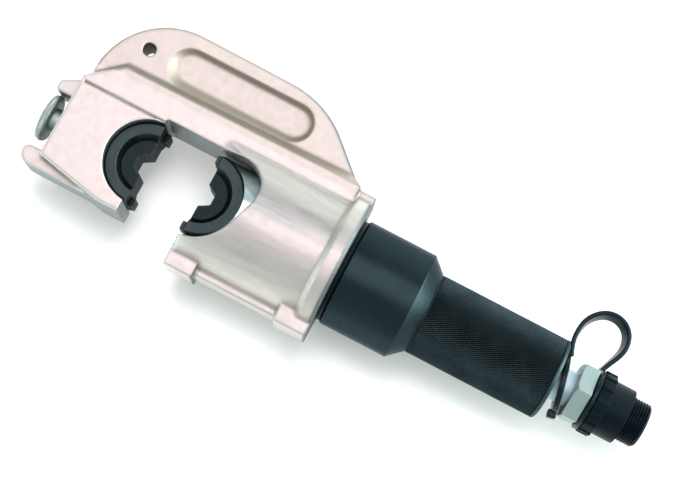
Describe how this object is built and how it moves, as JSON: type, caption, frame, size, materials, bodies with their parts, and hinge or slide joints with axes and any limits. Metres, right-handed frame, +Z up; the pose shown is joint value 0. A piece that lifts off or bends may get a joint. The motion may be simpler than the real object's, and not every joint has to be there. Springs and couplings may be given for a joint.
{
  "type": "hydraulic crimping head",
  "caption": "Remote hydraulic crimping head: forged C-frame with half-round hex dies, spring-return ram, black cylinder, knurled grip and a capped hose coupler on a tether.",
  "frame": {"origin": "centre of the crimping nest, on the ram axis at the fixed die's centre", "axes": "+X along the ram axis towards the hose coupler, +Y towards the closed back of the C, +Z up out of the head's flat side"},
  "size_m": [0.3371, 0.1118, 0.075],
  "materials": {
    "nickel_plate": "satin nickel plate on a forged and shot-blasted surface",
    "black_oxide": "black oxide on machined steel",
    "chrome": "hard chrome, ground",
    "black_enamel": "satin black on steel, diamond knurl on the grip",
    "bright_zinc": "bright zinc",
    "green_zinc": "pale greenish zinc",
    "spring_steel": "plain steel",
    "bronze": "plain bronze",
    "seal_rubber": "smooth seal rubber",
    "guide_plastic": "plain",
    "cap_plastic": "moulded black plastic",
    "tether_rubber": "moulded black elastomer"
  },
  "bodies": {
    "head": {"c_frame": "nickel_plate", "fixed_die": "black_oxide", "release_bush": "bronze", "release_spring": "spring_steel", "cylinder": "black_enamel", "rod_wiper": "seal_rubber", "joint_seal_ring": "seal_rubber", "return_spring": "spring_steel", "spring_plug_rear": "spring_steel", "handle": "black_enamel", "handle_seal_washer": "bronze", "nipple_seal_washer": "bronze", "neck_nipple": "bright_zinc", "coupler_body": "green_zinc", "poppet_spring": "spring_steel", "tether_neck_ring": "tether_rubber", "tether_strap": "tether_rubber"},
    "ram": {"ram": "chrome", "moving_die": "black_oxide", "detent_ball": "chrome", "detent_spring": "spring_steel", "wear_ring": "guide_plastic", "piston_seal": "seal_rubber", "backup_ring": "guide_plastic", "spring_plug_front": "spring_steel"},
    "release": {"release_pin": "bright_zinc", "release_knob": "bright_zinc"},
    "cap_ring": {"tether_cap_ring": "tether_rubber"},
    "dust_cap": {"dust_cap": "cap_plastic", "cap_gasket": "seal_rubber"},
    "poppet": {"check_poppet": "spring_steel", "poppet_seal": "seal_rubber"}
  },
  "joints": [
    {"name": "ram_stroke", "type": "slide", "parent": "head", "child": "ram", "axis": [-1, 0, 0], "range_m": [0, 0.0298], "stiffness_N_per_m": 1500, "springref_m": -0.03, "deforming": ["return_spring"]},
    {"name": "die_release", "type": "slide", "parent": "head", "child": "release", "axis": [-1, 0, 0], "range_m": [0, 0.006], "stiffness_N_per_m": 1000, "springref_m": -0.005, "deforming": ["release_spring"]},
    {"name": "cap_advance", "type": "slide", "parent": "head", "child": "cap_ring", "axis": [1, 0, 0], "range_m": [0, 0.0045]},
    {"name": "cap_turn", "type": "hinge", "parent": "cap_ring", "child": "dust_cap", "pos_m": [0.255, 0, 0], "axis": [1, 0, 0], "range_deg": [0, 1080]},
    {"name": "poppet_slide", "type": "slide", "parent": "head", "child": "poppet", "axis": [-1, 0, 0], "range_m": [0, 0.003], "stiffness_N_per_m": 300, "springref_m": -0.003, "deforming": ["poppet_spring"]}
  ],
  "couplings": [
    {"joint": "cap_advance", "follows": "cap_turn", "m_per_rad": 0.00023873}
  ]
}
